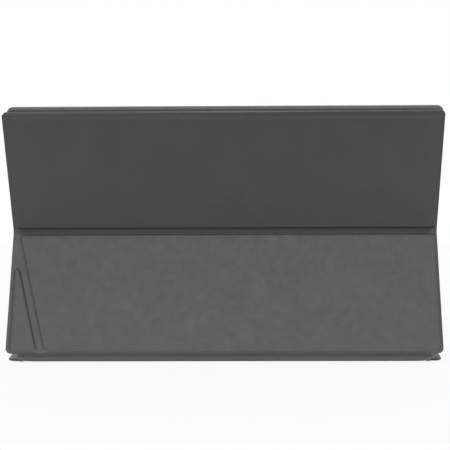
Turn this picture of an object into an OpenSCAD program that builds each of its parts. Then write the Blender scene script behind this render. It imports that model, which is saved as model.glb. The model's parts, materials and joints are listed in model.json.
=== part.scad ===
// Portable monitor held in a folding cover, standing in landscape.
// X runs across the display, +Y points behind the screen and +Z points up.
// The origin is the middle of the front cover's underside, on the table.
// Each cover panel is drawn flat in a frame of its own: y runs away from the table along the
// panel, z = 0 is the middle of its thickness, and +z is the lined side.

/* [Display] */
// Width of the picture
picture_w = 344.2; // [310:0.1:380]
// Height of the picture
picture_h = 193.6; // [174:0.1:214]
// Bezel on either side of the picture
bezel_side = 7.75; // [7.1:0.05:10]
// Bezel above the picture
bezel_top = 8.5; // [7.6:0.1:10]
// Bezel below the picture
bezel_foot = 24.3; // [22:0.1:32]
// Thickness of the display
display_t = 8; // [7.4:0.1:12]
// Radius of the display's corners
display_corner_r = 6; // [3:0.5:7.5]
// Sideways place of the display on the cover
display_shift = -1.2; // [-1.6:0.1:1.6]
// Bevel round the display's back
back_bevel = 1.2; // [0.4:0.1:1.4]
// Thickness of the bezel's front plate
bezel_plate_t = 1; // [0.8:0.1:1.2]
// Depth of the bezel, edge to seam
bezel_depth = 2.4; // [2:0.1:3]
// Side walls of the housing and bezel
side_wall = 1.4; // [1.2:0.1:1.6]
// Back wall of the housing
back_wall = 0.9; // [0.7:0.1:1.2]

/* [Screen stack] */
// Foam gasket under the bezel
gasket_t = 0.3; // [0.2:0.05:0.4]
// Width of the gasket's strips
gasket_w = 1.2; // [0.8:0.1:1.4]
// Liquid crystal panel
panel_t = 1.2; // [0.8:0.1:1.4]
// How far the panel runs past the picture at its sides and top
panel_lap = 1.7; // [1.5:0.1:2.4]
// How far the panel's ledge runs below the picture
panel_ledge = 6; // [4:0.5:8]
// Diffuser films
diffuser_t = 0.4; // [0.3:0.1:0.5]
// Light guide plate
guide_t = 1; // [0.8:0.1:1.2]
// Floor and rim of the backlight tray
tray_t = 0.3; // [0.2:0.05:0.4]
// Width of the light strip
led_strip_w = 2.6; // [2:0.1:3]
// Slip between the light guide, the strip and the tray
stack_slip = 0.2; // [0.1:0.05:0.3]

/* [Boards] */
// Height of the boards above the housing's floor
board_lift = 0.5; // [0.3:0.1:0.6]
// Thickness of the printed boards
pcb_t = 0.8; // [0.6:0.1:1]
// Width of the main board
main_board_w = 112; // [90:1:120]
// Height of the main board
main_board_h = 38; // [34:1:50]
// Width of the driver board
driver_board_w = 180; // [120:1:190]
// Height of the driver board
driver_board_h = 9; // [7:0.5:11]
// Gap between the main board and the driver board
board_gap = 6; // [4:1:10]
// Height of the shield above the main board
shield_h = 1.2; // [0.8:0.1:1.3]
// Width of the shield
shield_w = 34; // [20:1:40]
// Depth of the shield
shield_d = 24; // [16:1:28]
// Gap from the bottom wall to the boards
board_edge_gap = 1.4; // [1:0.1:2]
// Inset of the main board's screws from its edges
board_hole_inset = 4; // [3:0.1:5]
// Shield's place along the main board
shield_inset = 50; // [40:1:60]
// Width of the driver cable
driver_cable_w = 2.7; // [2:0.1:3]

/* [Socket] */
// Width inside the data socket
socket_w = 8.34; // [8.34:0.01:8.4]
// Height inside the data socket
socket_h = 2.56; // [2.56:0.01:2.6]
// Shell of the socket
socket_wall = 0.3; // [0.2:0.05:0.35]
// Depth of the socket
socket_d = 6.2; // [5.5:0.1:6.6]
// Thickness of the tongue inside the socket
socket_tongue_t = 0.7; // [0.6:0.05:0.8]
// Width of the tongue
socket_tongue_w = 6.7; // [6.4:0.1:7]
// Height of the socket above the display's foot
socket_rise = 10; // [8:0.5:12]

/* [Buttons] */
// Diameter of the buttons
button_d = 4.8; // [3.6:0.1:6]
// How far the buttons stand proud
button_proud = 0.4; // [0.2:0.1:0.8]
// Travel of the buttons
button_travel = 0.5; // [0.3:0.1:0.6]
// Gap round each button
button_gap = 0.2; // [0.1:0.05:0.3]
// Height of the buttons above the display's foot
button_rise = 9; // [7:0.5:11]
// Inset of the outer buttons from the display's sides
button_inset = 17.85; // [15:0.05:24]
// Spacing of the three menu buttons
button_pitch = 12; // [9:0.5:16]
// Distance from the outer buttons to the ends of their boards
key_board_end = 10.8; // [10:0.1:12]
// Distance from the power button to the power light
lens_gap = 12; // [10:0.5:14]
// Flange that keeps each button in
flange_t = 0.4; // [0.3:0.05:0.6]
// Stem under each button
stem_l = 0.5; // [0.3:0.05:0.8]
// Diameter of the stems
stem_d = 1.9; // [1.2:0.1:2.6]
// Thickness of the button boards
key_board_t = 0.6; // [0.4:0.05:0.7]
// Height of the keys on them
key_h = 0.6; // [0.4:0.05:0.7]
// Diameter of the keys
key_d = 2.9; // [2:0.1:3.2]
// Diameter of the power light
lens_d = 1.6; // [1:0.1:2.4]

/* [Cover] */
// How far the cover runs past the display's sides
cover_lap = 1.65; // [1.4:0.05:8]
// Outer skin
skin_t = 0.6; // [0.4:0.1:0.8]
// Stiffener boards
board_t = 1.5; // [1.2:0.1:2]
// Soft lining
lining_t = 0.5; // [0.3:0.1:0.7]
// Height of the boards' print through the skin
relief = 0.6; // [0.3:0.1:0.8]
// Bare hem on the side of the corner flap
hem_wide = 3.6; // [2.5:0.1:5]
// Bare hem on the other side
hem_narrow = 1.8; // [1.5:0.1:4]
// Bare hem along the free edges
hem_top = 3.9; // [2.5:0.1:5]
// Radius of the back panel's top corners
top_corner_r = 4; // [2:0.5:7]
// Radius of the leg's foot corners
foot_corner_r = 8; // [5:0.5:10]
// Radius of the front cover's corners
front_corner_r = 6.5; // [4:0.5:10]
// Radius of the stiffener boards' corners
board_corner_r = 3; // [2:0.5:4]
// Glue pad between the back panel and the display
pad_t = 0.6; // [0.5:0.1:1]
// Inset of the glue pad from the board
pad_inset = 8; // [4:1:20]

/* [Folds] */
// Crease to the top edge of the back panel
top_reach = 114.8; // [108:0.1:118]
// Bare skin from the crease to the boards
crease_half = 3.8; // [3.4:0.1:5]
// Bare skin from the spine's folds to the boards
spine_fold_half = 2.6; // [2.4:0.1:2.8]
// Spine's ends, in from the cover's sides
spine_inset = 10.2; // [8:0.1:14]
// Corner fold's lower end, in from the leg's side
flap_foot = 29.7; // [22:0.1:36]
// Corner fold's upper end, in from the leg's side at the crease
flap_head = 1.4; // [0.8:0.1:2]
// Bare skin from the corner fold to the boards
flap_half = 3.4; // [2.8:0.1:4]
// Radius of the tip of the flap's board
flap_tip_r = 1.8; // [0.5:0.1:2.4]
// Top of the corner flap, down from the crease
flap_top_gap = 8; // [6.5:0.5:14]
// Slit between the flap and the spine's fold
flap_slit = 2.6; // [2.4:0.1:4]
// Lip of thick skin past each board
lip = 0.9; // [0.7:0.1:1]
// Thickness of the skin that bends
web_t = 0.9; // [0.6:0.1:1.1]
// Radius of the roll in each fold
roll_r = 0.9; // [0.6:0.05:1]
// Gap between a roll and the skin that turns round it
roll_gap = 0.25; // [0.2:0.05:0.35]

/* [Stance] */
// Lean of the display from upright
display_lean = 24.2; // [18:0.1:30]
// Lean of the leg from upright
leg_lean = 30.4; // [28:0.1:32]
// Slope of the spine up from the table
spine_slope = 36.1; // [34:0.1:40]
// Thickness of the foot mat
mat_t = 1; // [0.8:0.1:1.3]
// Width of the foot mat, front to back
mat_d = 34; // [30:1:44]
// Height of the stop ridges
ridge_h = 1.2; // [0.8:0.1:1.5]
// Width of the stop ridges
ridge_w = 2.2; // [1.6:0.1:3]
// Spacing of the stop ridges
ridge_pitch = 12; // [9:0.5:16]
// Gap between the display's foot and what it rests on
foot_gap = 0.2; // [0.1:0.05:0.3]

/* [Fasteners] */
// Radius of the screw shanks
screw_r = 0.7; // [0.5:0.05:0.8]
// Radius of the screw heads
screw_head_r = 1.4; // [1.2:0.1:1.6]
// Height of the screw heads
screw_head_h = 0.6; // [0.4:0.1:0.7]
// Wall of the screw bosses
boss_wall = 0.9; // [0.7:0.1:1.1]
// Gap round what drops into a cut-out
fit_gap = 0.1; // [0.05:0.05:0.2]
// Length of the magnets
magnet_l = 24; // [12:1:40]
// Width of the magnets
magnet_d = 4; // [3:0.1:4.5]
// Thickness of the magnets
magnet_t = 1; // [0.8:0.1:1.1]
// Inset of the magnets' middles from the display's sides
magnet_inset = 54.85; // [40:0.05:80]

/* [Hidden] */
$fn = 48;
cut = 1; // how far a cut runs past what it cuts
end_flat = 0.02; // half the flat left in the middle of a fully rounded end

// ---- Cover layers, from the outer skin (z below 0) to the lining (z above 0)
cover_t = skin_t + board_t + lining_t;
display_w = picture_w + 2 * bezel_side;
display_h = bezel_top + picture_h + bezel_foot;
cover_w = display_w + 2 * cover_lap;
skin_out = -cover_t / 2;
hem_out = skin_out + relief;
board_out = skin_out + skin_t;
board_in = board_out + board_t;
lining_in = cover_t / 2;
half_w = cover_w / 2;
roll_clear = roll_r + roll_gap;

// ---- Display levels, in the back panel's frame
back_z = lining_in + pad_t;
floor_z = back_z + back_wall;
front_z = back_z + display_t;
seam_z = front_z - bezel_depth;
plate_z = front_z - bezel_plate_t;
panel_z = plate_z - gasket_t - panel_t;
diffuser_z = panel_z - diffuser_t;
guide_z = diffuser_z - guide_t;
tray_z = guide_z - tray_t;
pcb_z = floor_z + board_lift;
foot_y = top_reach - display_h;

// ---- Screen stack, across and along
picture_top = top_reach - bezel_top;
picture_foot = picture_top - picture_h;
panel_w = picture_w + 2 * panel_lap;
panel_top = picture_top + panel_lap;
panel_foot = picture_foot - panel_ledge;
panel_h = panel_top - panel_foot;
panel_y = panel_foot + panel_h / 2;
inner_w = display_w - 2 * side_wall;
inner_foot = foot_y + side_wall;

// ---- Spine: wraps the closed display, so its folds are one display and one cover apart
spine_pitch = display_t + pad_t + cover_t;
spine_w = cover_w - 2 * spine_inset;

// ---- Stance: the display's bevelled foot rests on the mat, and the leg props the crease
mat_top = cover_t + mat_t;
foot_depth = back_z + back_bevel;
crease_z = mat_top + foot_gap - foot_y * cos(display_lean) - foot_depth * sin(display_lean);
leg_fold_z = cover_t / 2 + spine_pitch * sin(spine_slope);
leg_pitch = (crease_z - leg_fold_z) / cos(leg_lean);
leg_angle = 90 + leg_lean;
display_angle = 90 - display_lean;
front_reach = leg_pitch + top_reach;
front_len = front_reach - spine_fold_half;
spine_fold_y = front_len / 2 + spine_fold_half;
leg_fold_y = spine_fold_y + spine_pitch * cos(spine_slope);
crease_y = leg_fold_y - leg_pitch * sin(leg_lean);
foot_line_y = crease_y + foot_y * sin(display_lean) - foot_depth * cos(display_lean);
ridge_lead = (ridge_h + foot_gap) / tan(display_lean);

// ---- Corner flap: its fold runs from near the crease's end to the leg's foot
flap_slope = atan((flap_foot - flap_head) / leg_pitch);
flap_top_y = leg_pitch - flap_top_gap;

// x of a line along the corner fold, d from it towards the cover's middle, at height y
function fold_x(y, d) = half_w - flap_head - (leg_pitch - y) * tan(flap_slope) - d / cos(flap_slope);

// points of an outline whose corners are rounded: each corner is [x, y, radius], anticlockwise
function corner_arc(a, b, c, steps = 8) =
    let (
        u = [a.x - b.x, a.y - b.y] / norm([a.x - b.x, a.y - b.y]),
        v = [c.x - b.x, c.y - b.y] / norm([c.x - b.x, c.y - b.y]),
        half = acos(u * v) / 2,
        mid = (u + v) / norm(u + v),
        centre = [b.x, b.y] + mid * b.z / sin(half),
        from = atan2(-mid.y, -mid.x) - (90 - half)
    )
    b.z == 0 ? [[b.x, b.y]] : [for (i = [0:steps])
        let (turn = from + (180 - 2 * half) * i / steps)
        centre + b.z * [cos(turn), sin(turn)]];
function rounded(corners) = [for (i = [0:len(corners) - 1])
    each corner_arc(corners[(i + len(corners) - 1) % len(corners)], corners[i],
        corners[(i + 1) % len(corners)])];

// ---- Buttons and power light, on the bezel's foot
button_y = foot_y + button_rise;
power_x = display_w / 2 - button_inset;
menu_xs = [for (n = [0:2]) -power_x + n * button_pitch];
lens_x = power_x - lens_gap;
button_hole_r = button_d / 2 + button_gap;
flange_r = button_hole_r + 2 * button_gap;
flange_z = plate_z - foot_gap - flange_t;
key_top = flange_z - stem_l - button_travel;
button_pcb_z = key_top - key_h - key_board_t;
button_posts = [menu_xs[0] + button_pitch / 2, menu_xs[2] - button_pitch / 2,
    lens_x + lens_gap / 3, power_x + key_board_end / 2];

// ---- Magnets that hold the closed cover
magnet_y = -front_reach + hem_top + skin_t + magnet_d / 2 + button_gap;
bezel_magnet_y = (top_reach - side_wall + panel_top) / 2;
magnet_x = display_w / 2 - magnet_inset;

// ---- Frames
module in_front_cover() {
    translate([0, spine_fold_y, cover_t / 2])
        children();
}
module in_spine() {
    translate([0, spine_fold_y, cover_t / 2])
        rotate([spine_slope, 0, 0])
            children();
}
module in_leg() {
    translate([0, leg_fold_y, leg_fold_z])
        rotate([leg_angle, 0, 0])
            children();
}
module in_display() {
    translate([0, crease_y, crease_z])
        rotate([display_angle, 0, 0])
            children();
}
module in_monitor() {
    in_display()
        translate([display_shift, 0, 0])
            children();
}

// ---- Shapes used by several pieces
module layer(low, high) {
    translate([0, 0, low])
        linear_extrude(high - low)
            children();
}
module block(x, y, z) {
    translate([x[0], y[0], z[0]])
        cube([x[1] - x[0], y[1] - y[0], z[1] - z[0]]);
}
module rounded_rect(low, high, r) {
    translate([low.x + r, low.y])
        square([high.x - low.x - 2 * r, high.y - low.y]);
    translate([low.x, low.y + r])
        square([high.x - low.x, high.y - low.y - 2 * r]);
    for (x = [low.x + r, high.x - r], y = [low.y + r, high.y - r])
        translate([x, y])
            circle(r);
}
// skin with a pocket for the board: child 0 is the panel, child 1 the print and child 2 the board
module pocketed_skin() {
    difference() {
        union() {
            layer(hem_out, board_in)
                children(0);
            layer(skin_out, hem_out)
                children(1);
        }
        layer(board_out, board_in + cut)
            children(2);
    }
}
module web(x, y) {
    block(x, y, [-web_t / 2, web_t / 2]);
}
module roll(x) {
    translate([x[0], 0, 0])
        rotate([0, 90, 0])
            cylinder(r = roll_r, h = x[1] - x[0]);
}

// ---- Front cover, flat on the table
front_low = [-half_w, -front_reach];
front_high = [half_w, -spine_fold_half];
module front_outline() {
    rounded_rect(front_low, front_high, front_corner_r);
}
module front_print(inset) {
    rounded_rect(front_low + [hem_narrow + inset, hem_top + inset],
        front_high - [hem_wide + inset, lip + inset], board_corner_r);
}
module magnet_pair(y, low, high) {
    for (x = [-magnet_x, magnet_x])
        block([x - magnet_l / 2, x + magnet_l / 2], [y - magnet_d / 2, y + magnet_d / 2], [low, high]);
}
module front_cover_skin() {
    color([0.30, 0.30, 0.31])
        in_front_cover()
            pocketed_skin() {
                front_outline();
                front_print(0);
                front_print(skin_t);
            }
}
module front_cover_board() {
    color([0.45, 0.43, 0.40])
        in_front_cover()
            difference() {
                layer(board_out, board_in)
                    front_print(skin_t);
                magnet_pair(magnet_y, board_in - magnet_t, board_in + cut);
            }
}
module front_cover_lining() {
    color([0.62, 0.62, 0.62])
        in_front_cover()
            layer(board_in, lining_in)
                front_outline();
}
module closure_magnets() {
    color([0.70, 0.70, 0.72])
        in_front_cover()
            magnet_pair(magnet_y, board_in - magnet_t, board_in);
}
module rear_fold() {
    color([0.25, 0.25, 0.26])
        in_front_cover() {
            web([-spine_w / 2, spine_w / 2], [-spine_fold_half, 0]);
            roll([-spine_w / 2, spine_w / 2]);
        }
}
module ridge_bars(low, high) {
    for (n = [0, 1])
        translate([0, foot_line_y - ridge_lead - ridge_w / 2 - n * ridge_pitch, low])
            linear_extrude(high - low)
                rounded_rect([-spine_w / 2, -ridge_w / 2], [spine_w / 2, ridge_w / 2],
                    ridge_w / 2 - end_flat);
}
module foot_mat() {
    color([0.22, 0.22, 0.23])
        translate([0, foot_line_y - mat_d / 2 + ridge_pitch / 2, cover_t])
            linear_extrude(mat_t)
                rounded_rect([-half_w + spine_inset, -mat_d / 2], [half_w - spine_inset, mat_d / 2],
                    board_corner_r);
}
module stop_ridges() {
    color([0.16, 0.16, 0.17])
        ridge_bars(mat_top, mat_top + ridge_h);
}

// ---- Spine, between the front cover and the leg
module spine_outline(inset) {
    translate([-spine_w / 2 + inset, spine_fold_half - lip + inset])
        square([spine_w - 2 * inset, spine_pitch - 2 * (spine_fold_half - lip) - 2 * inset]);
}
module spine_skin() {
    color([0.34, 0.34, 0.35])
        in_spine() {
            pocketed_skin() {
                spine_outline(0);
                spine_outline(lip);
                spine_outline(lip + skin_t);
            }
            web([-spine_w / 2, spine_w / 2], [roll_clear, spine_fold_half - lip]);
        }
}
module spine_board() {
    color([0.45, 0.43, 0.40])
        in_spine()
            layer(board_out, board_in)
                spine_outline(lip + skin_t);
}
module spine_lining() {
    color([0.60, 0.60, 0.60])
        in_spine()
            layer(board_in, lining_in)
                spine_outline(0);
}
module foot_fold() {
    color([0.25, 0.25, 0.26])
        in_spine()
            translate([0, spine_pitch, 0]) {
                web([-spine_w / 2, spine_w / 2], [-spine_fold_half + lip, 0]);
                roll([-spine_w / 2, spine_w / 2]);
            }
}

// ---- Leg, from the foot fold up to the crease
leg_foot_y = spine_fold_half - lip;
leg_head_y = leg_pitch - crease_half + lip;
module leg_outline() {
    polygon(rounded([
        [-half_w, leg_foot_y, foot_corner_r],
        [fold_x(leg_foot_y, flap_half - lip), leg_foot_y, 0],
        [fold_x(leg_head_y, flap_half - lip), leg_head_y, 0],
        [-half_w, leg_head_y, 0]
    ]));
}
module leg_print(inset) {
    low = leg_foot_y + lip + inset;
    high = leg_head_y - lip - inset;
    polygon(rounded([
        [-half_w + hem_narrow + inset, low, foot_corner_r - hem_narrow - inset],
        [fold_x(low, flap_half + inset), low, board_corner_r],
        [fold_x(high, flap_half + inset), high, board_corner_r],
        [-half_w + hem_narrow + inset, high, board_corner_r]
    ]));
}
module leg_skin() {
    color([0.38, 0.38, 0.39])
        in_leg() {
            pocketed_skin() {
                leg_outline();
                leg_print(0);
                leg_print(skin_t);
            }
            web([-spine_w / 2, fold_x(roll_clear, flap_half)], [roll_clear, leg_foot_y]);
        }
}
module leg_board() {
    color([0.45, 0.43, 0.40])
        in_leg()
            layer(board_out, board_in)
                leg_print(skin_t);
}
module leg_lining() {
    color([0.60, 0.60, 0.60])
        in_leg()
            layer(board_in, lining_in)
                leg_outline();
}
module crease_fold() {
    reach = [-half_w, fold_x(leg_head_y, flap_half - lip)];
    color([0.25, 0.25, 0.26])
        in_leg()
            translate([0, leg_pitch, 0]) {
                web(reach, [leg_head_y - leg_pitch, 0]);
                roll(reach);
            }
}
module corner_fold() {
    low = leg_foot_y;
    high = flap_top_y;
    color([0.25, 0.25, 0.26])
        in_leg() {
            layer(-web_t / 2, web_t / 2)
                polygon([
                    [fold_x(low, flap_half - lip), low],
                    [fold_x(low, 0), low],
                    [fold_x(high, 0), high],
                    [fold_x(high, flap_half - lip), high]
                ]);
            translate([fold_x(low, 0), low, 0])
                rotate([0, 0, -flap_slope])
                    rotate([-90, 0, 0])
                        cylinder(r = roll_r, h = (high - low) / cos(flap_slope));
        }
}

// ---- Corner flap, hinged on the leg along the corner fold
flap_foot_y = leg_foot_y + flap_slit;
module flap_outline(near) {
    polygon(rounded([
        [fold_x(flap_foot_y, -near), flap_foot_y, 0],
        [half_w, flap_foot_y, foot_corner_r],
        [half_w, flap_top_y, 0],
        [min(fold_x(flap_top_y, -near), half_w - lip), flap_top_y, 0]
    ]));
}
module flap_print(inset) {
    low = flap_foot_y + lip + inset;
    side = half_w - hem_wide - inset;
    tip = leg_pitch - (half_w - flap_head - side + (flap_half + inset) / cos(flap_slope)) / tan(flap_slope);
    polygon(rounded([
        [fold_x(low, -flap_half - inset), low, board_corner_r],
        [side, low, foot_corner_r - hem_wide - inset],
        [side, tip, flap_tip_r]
    ]));
}
module corner_skin() {
    color([0.38, 0.38, 0.39])
        in_leg()
            pocketed_skin() {
                flap_outline(roll_clear);
                flap_print(0);
                flap_print(skin_t);
            }
}
module corner_board() {
    color([0.45, 0.43, 0.40])
        in_leg()
            layer(board_out, board_in)
                flap_print(skin_t);
}
module corner_lining() {
    color([0.60, 0.60, 0.60])
        in_leg()
            layer(board_in, lining_in)
                flap_outline(flap_half - lip);
}

// ---- Back panel, glued to the display's upper half
back_low = [-half_w, crease_half - lip];
back_high = [half_w, top_reach];
module back_outline() {
    polygon(rounded([
        [back_low.x, back_low.y, 0],
        [back_high.x, back_low.y, 0],
        [back_high.x, back_high.y, top_corner_r],
        [back_low.x, back_high.y, top_corner_r]
    ]));
}
module back_print(inset) {
    rounded_rect(back_low + [hem_narrow + inset, lip + inset],
        back_high - [hem_wide + inset, hem_top + inset], board_corner_r);
}
module back_panel_skin() {
    color([0.30, 0.30, 0.31])
        in_display() {
            pocketed_skin() {
                back_outline();
                back_print(0);
                back_print(skin_t);
            }
            web([-half_w, half_w], [roll_clear, back_low.y]);
        }
}
module back_panel_board() {
    color([0.45, 0.43, 0.40])
        in_display()
            layer(board_out, board_in)
                back_print(skin_t);
}
module back_panel_lining() {
    color([0.60, 0.60, 0.60])
        in_display()
            layer(board_in, lining_in)
                back_outline();
}
module mounting_pad() {
    color([0.12, 0.12, 0.12])
        in_display()
            layer(lining_in, back_z)
                back_print(skin_t + pad_inset);
}

// ---- Display housing and bezel
module display_outline(inset) {
    rounded_rect([-display_w / 2 + inset, foot_y + inset],
        [display_w / 2 - inset, top_reach - inset], display_corner_r - inset);
}
module back_bevels() {
    reach = display_w + display_h;
    for (side = [-1, 1])
        translate([side * display_w / 2, 0, back_z])
            rotate([0, 45, 0])
                cube([back_bevel * sqrt(2), reach, back_bevel * sqrt(2)], center = true);
    for (y = [foot_y, top_reach])
        translate([0, y, back_z])
            rotate([45, 0, 0])
                cube([reach, back_bevel * sqrt(2), back_bevel * sqrt(2)], center = true);
}
screw_x = display_w / 2 - side_wall - screw_head_r - boss_wall;
boss_r = screw_r + boss_wall;
module at_screws() {
    for (spot = screw_spots)
        translate(spot)
            children();
}
main_low = [-inner_w / 2 + side_wall, inner_foot + board_edge_gap];
main_high = main_low + [main_board_w, main_board_h];
screw_low_y = main_high.y + board_edge_gap + boss_r;
screw_high_y = top_reach - display_corner_r - 2 * boss_r;
screw_spots = [for (x = [-screw_x, screw_x], n = [0:2])
    [x, screw_low_y + (screw_high_y - screw_low_y) * n / 2]];
socket_side = main_low.x + socket_d + board_hole_inset + boss_r;
main_spots = [for (x = [socket_side, main_high.x - board_hole_inset],
    y = [main_low.y + board_hole_inset, main_high.y - board_hole_inset]) [x, y]];
driver_low = [main_high.x + board_gap, main_low.y];
driver_high = driver_low + [driver_board_w, driver_board_h];
driver_spots = [driver_low + [board_gap + boss_r, driver_board_h / 2],
    driver_high - [board_gap + boss_r, driver_board_h / 2]];
socket_y = foot_y + socket_rise;
socket_z = floor_z + fit_gap + socket_wall;
module socket_slot(grow, depth) {
    w = socket_w + 2 * grow;
    h = socket_h + 2 * grow;
    translate([-display_w / 2 - grow, socket_y, socket_z + socket_h / 2])
        rotate([0, 90, 0])
            linear_extrude(depth)
                rounded_rect([-h / 2, -w / 2], [h / 2, w / 2], h / 2 - end_flat);
}
ribs_y = [for (n = [0:2]) screw_spots[n].y];
module rear_housing() {
    color([0.20, 0.20, 0.21])
        in_monitor()
            difference() {
                union() {
                    difference() {
                        layer(back_z, seam_z)
                            display_outline(0);
                        layer(floor_z, seam_z + cut)
                            display_outline(side_wall);
                    }
                    for (y = ribs_y)
                        block([-panel_w / 2, panel_w / 2], [y - side_wall / 2, y + side_wall / 2],
                            [back_z, tray_z]);
                    at_screws()
                        layer(back_z, seam_z)
                            circle(boss_r);
                    for (spot = concat(main_spots, driver_spots))
                        translate(spot)
                            layer(back_z, pcb_z)
                                circle(boss_r);
                }
                back_bevels();
                at_screws() {
                    layer(back_z - cut, seam_z + cut)
                        circle(screw_r);
                    layer(back_z - cut, back_z + screw_head_h)
                        circle(screw_head_r);
                }
                for (spot = concat(main_spots, driver_spots))
                    translate(spot)
                        layer(floor_z, pcb_z + cut)
                            circle(screw_r);
                socket_slot(socket_wall, side_wall + 2 * socket_wall);
            }
}
module front_bezel() {
    color([0.10, 0.10, 0.10])
        in_monitor()
            difference() {
                union() {
                    layer(plate_z, front_z)
                        display_outline(0);
                    difference() {
                        layer(seam_z, plate_z)
                            display_outline(0);
                        layer(seam_z - cut, plate_z)
                            display_outline(side_wall);
                    }
                    at_screws()
                        layer(seam_z, plate_z)
                            circle(boss_r);
                    for (x = button_posts)
                        translate([x, button_y, 0])
                            layer(button_pcb_z + key_board_t, plate_z)
                                circle(boss_r);
                }
                block([-picture_w / 2, picture_w / 2], [picture_foot, picture_top],
                    [plate_z - cut, front_z + cut]);
                for (x = concat([power_x], menu_xs))
                    translate([x, button_y, 0])
                        layer(plate_z - cut, front_z + cut)
                            circle(button_hole_r);
                translate([lens_x, button_y, 0])
                    layer(plate_z - cut, front_z + cut)
                        circle(lens_d / 2);
                at_screws()
                    layer(seam_z - cut, plate_z)
                        circle(screw_r);
            }
}
module housing_screws() {
    color([0.55, 0.55, 0.57])
        in_monitor()
            at_screws() {
                layer(back_z, back_z + screw_head_h)
                    circle(screw_head_r);
                layer(back_z + screw_head_h, plate_z)
                    circle(screw_r);
            }
}

// ---- Screen stack
module panel_frame(inset) {
    difference() {
        translate([-panel_w / 2, panel_foot])
            square([panel_w, panel_h]);
        translate([-panel_w / 2 + inset, panel_foot + inset])
            square([panel_w - 2 * inset, panel_h - 2 * inset]);
    }
}
module bezel_gasket() {
    color([0.08, 0.08, 0.08])
        in_monitor()
            layer(panel_z + panel_t, plate_z)
                panel_frame(gasket_w);
}
module lcd_panel() {
    color([0.03, 0.03, 0.04])
        in_monitor()
            block([-panel_w / 2, panel_w / 2], [panel_foot, panel_top], [panel_z, panel_z + panel_t]);
}
module diffuser_sheet() {
    slip = tray_t + stack_slip;
    color([0.92, 0.92, 0.90])
        in_monitor()
            block([-panel_w / 2 + slip, panel_w / 2 - slip], [panel_foot + slip, panel_top - slip],
                [diffuser_z, panel_z]);
}
module light_guide() {
    slip = tray_t + stack_slip;
    color([0.85, 0.93, 0.95])
        in_monitor()
            block([-panel_w / 2 + slip, panel_w / 2 - slip],
                [panel_foot + slip + led_strip_w + stack_slip, panel_top - slip],
                [guide_z, diffuser_z]);
}
module led_strip() {
    slip = tray_t + stack_slip;
    color([0.95, 0.90, 0.60])
        in_monitor()
            block([-panel_w / 2 + slip, panel_w / 2 - slip],
                [panel_foot + slip, panel_foot + slip + led_strip_w], [guide_z, diffuser_z]);
}
module backlight_tray() {
    color([0.75, 0.76, 0.78])
        in_monitor() {
            block([-panel_w / 2, panel_w / 2], [panel_foot, panel_top], [tray_z, guide_z]);
            layer(guide_z, panel_z)
                panel_frame(tray_t);
        }
}

// ---- Boards
module pcb(low, high, spots) {
    layer(pcb_z, pcb_z + pcb_t)
        difference() {
            translate(low)
                square(high - low);
            for (spot = spots)
                translate(spot)
                    circle(screw_r);
        }
}
module main_board() {
    notch = -display_w / 2 + socket_d + socket_wall + fit_gap;
    notch_half = socket_w / 2 + socket_wall + fit_gap;
    color([0.10, 0.30, 0.18])
        in_monitor()
            difference() {
                pcb(main_low, main_high, main_spots);
                block([main_low.x - cut, notch],
                    [socket_y - notch_half, socket_y + notch_half],
                    [pcb_z - cut, pcb_z + pcb_t + cut]);
            }
}
module driver_board() {
    color([0.10, 0.30, 0.18])
        in_monitor()
            pcb(driver_low, driver_high, driver_spots);
}
module driver_cable() {
    low = driver_high.y - driver_cable_w - stack_slip;
    color([0.80, 0.72, 0.45])
        in_monitor()
            block([main_high.x - board_gap, driver_low.x + board_gap / 2],
                [low, low + driver_cable_w],
                [pcb_z + pcb_t, pcb_z + pcb_t + stack_slip]);
}
module shield_can() {
    low = [main_low.x + shield_inset, main_low.y + (main_board_h - shield_d) / 2];
    wall = stack_slip;
    top = pcb_z + pcb_t + shield_h;
    color([0.70, 0.70, 0.72])
        in_monitor()
            difference() {
                block([low.x, low.x + shield_w], [low.y, low.y + shield_d], [pcb_z + pcb_t, top]);
                block([low.x + wall, low.x + shield_w - wall], [low.y + wall, low.y + shield_d - wall],
                    [pcb_z + pcb_t - cut, top - wall]);
            }
}
module board_screws() {
    color([0.55, 0.55, 0.57])
        in_monitor()
            for (spot = concat(main_spots, driver_spots))
                translate(spot) {
                    layer(pcb_z + pcb_t, pcb_z + pcb_t + screw_head_h)
                        circle(screw_head_r);
                    layer(floor_z, pcb_z + pcb_t)
                        circle(screw_r);
                }
}

// ---- Data socket in the side wall
module usb_c_socket() {
    color([0.72, 0.72, 0.74])
        in_monitor() {
            difference() {
                translate([socket_wall, 0, 0])
                    socket_slot(socket_wall, socket_d + socket_wall);
                socket_slot(0, socket_d);
                translate([-cut, 0, 0])
                    socket_slot(0, socket_d);
            }
            block([-display_w / 2 + socket_wall, -display_w / 2 + socket_d],
                [socket_y - socket_tongue_w / 2, socket_y + socket_tongue_w / 2],
                [socket_z + (socket_h - socket_tongue_t) / 2, socket_z + (socket_h + socket_tongue_t) / 2]);
        }
}

// ---- Buttons, their boards and the power light
module button(x) {
    color([0.16, 0.16, 0.16])
        in_monitor()
            translate([x, button_y, 0]) {
                layer(flange_z, flange_z + flange_t)
                    circle(flange_r);
                layer(flange_z + flange_t, front_z + button_proud)
                    circle(button_d / 2);
                layer(flange_z - stem_l, flange_z)
                    circle(stem_d / 2);
            }
}
module power_button() {
    button(power_x);
}
module menu_button() {
    button(menu_xs[0]);
}
module up_button() {
    button(menu_xs[1]);
}
module down_button() {
    button(menu_xs[2]);
}
module key_board(low_x, high_x, keys) {
    half_d = button_rise - side_wall - board_edge_gap;
    block([low_x, high_x], [button_y - half_d, button_y + half_d],
        [button_pcb_z, button_pcb_z + key_board_t]);
    for (x = keys)
        translate([x, button_y, 0])
            layer(button_pcb_z + key_board_t, key_top)
                circle(key_d / 2);
}
module button_board() {
    color([0.10, 0.30, 0.18])
        in_monitor() {
            key_board(menu_xs[0] - key_board_end, menu_xs[2] + key_board_end / 2, menu_xs);
            key_board(lens_x - key_board_end / 2, power_x + key_board_end, [power_x]);
        }
}
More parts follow.
